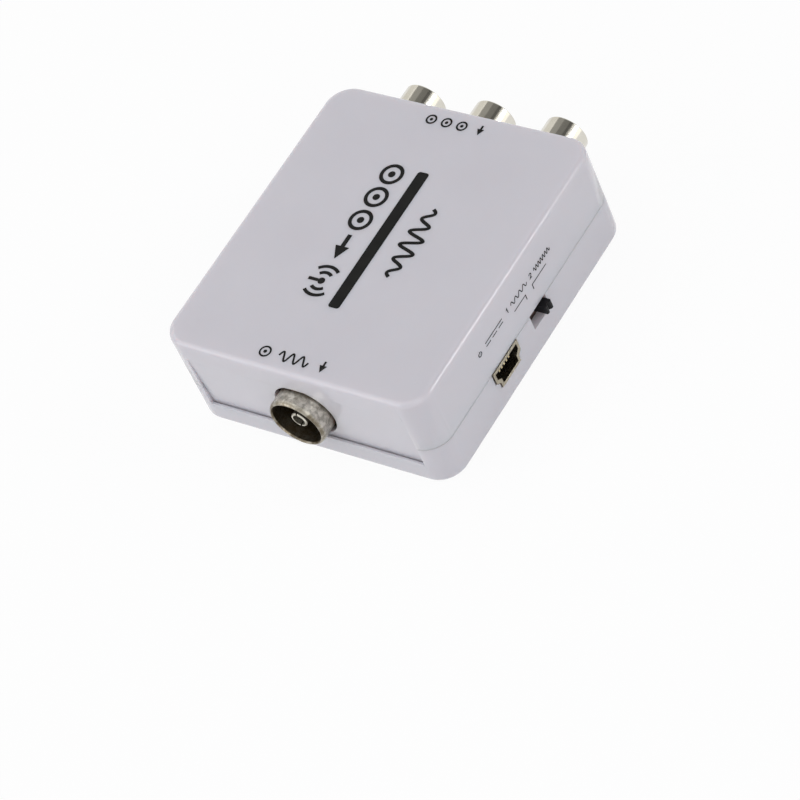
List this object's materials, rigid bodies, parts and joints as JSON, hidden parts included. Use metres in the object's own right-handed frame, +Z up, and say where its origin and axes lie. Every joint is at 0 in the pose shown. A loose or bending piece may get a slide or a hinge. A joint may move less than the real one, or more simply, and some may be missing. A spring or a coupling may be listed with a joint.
{
  "type": "rf modulator",
  "caption": "Small white snap-together case with a coaxial aerial socket, phono jacks, a mini power socket and a channel slide switch around a circuit board.",
  "frame": {"origin": "centre of the flat underside of the case", "axes": "+X towards the side with the power socket and the switch, -Y towards the aerial socket, +Y towards the phono jacks, +Z up"},
  "size_m": [0.0562, 0.0725, 0.021],
  "materials": {
    "shell_plastic": "moulded, glossy",
    "circuit_laminate": "solder mask, satin",
    "black_plastic": "moulded, satin",
    "nickel": "nickel plated",
    "tin": "tinned, mottled",
    "contact_brass": "bright",
    "yellow_plastic": "moulded",
    "white_plastic": "moulded",
    "red_plastic": "moulded",
    "cream_plastic": "moulded, matt",
    "brown_laminate": "laminate, matt",
    "knob_plastic": "moulded, satin",
    "chip_plastic": "moulded, matt",
    "chip_ceramic": "fired, matt",
    "coil_copper": "enamelled wire"
  },
  "bodies": {
    "case": {"top_shell": "shell_plastic", "bottom_shell": "shell_plastic", "circuit_board": "circuit_laminate", "video_jack_housing": "black_plastic", "left_jack_housing": "black_plastic", "right_jack_housing": "black_plastic", "video_jack_sleeve": "nickel", "left_jack_sleeve": "nickel", "right_jack_sleeve": "nickel", "video_jack_insert": "yellow_plastic", "left_jack_insert": "white_plastic", "right_jack_insert": "red_plastic", "video_jack_contact": "contact_brass", "left_jack_contact": "contact_brass", "right_jack_contact": "contact_brass", "aerial_sleeve": "tin", "aerial_frame": "tin", "aerial_contact": "tin", "aerial_insulator": "cream_plastic", "power_socket_shell": "nickel", "power_socket_tongue": "black_plastic", "power_socket_contacts": "contact_brass", "switch_frame": "nickel", "switch_base": "brown_laminate", "switch_terminals": "contact_brass", "modulator_chip": "chip_plastic", "controller_chip": "chip_plastic", "regulator": "chip_plastic", "chip_resistors": "chip_plastic", "modulator_legs": "nickel", "controller_legs": "nickel", "regulator_legs": "nickel", "crystal_can": "nickel", "capacitor_cans": "nickel", "crystal_foot": "black_plastic", "capacitor_feet": "black_plastic", "chip_capacitors": "chip_ceramic", "chip_coils": "coil_copper"},
    "knob": {"switch_knob": "knob_plastic", "switch_wiper": "contact_brass"}
  },
  "joints": [
    {"name": "switch_slide", "type": "slide", "parent": "case", "child": "knob", "axis": [0, -1, 0], "range_m": [0, 0.0029]}
  ]
}
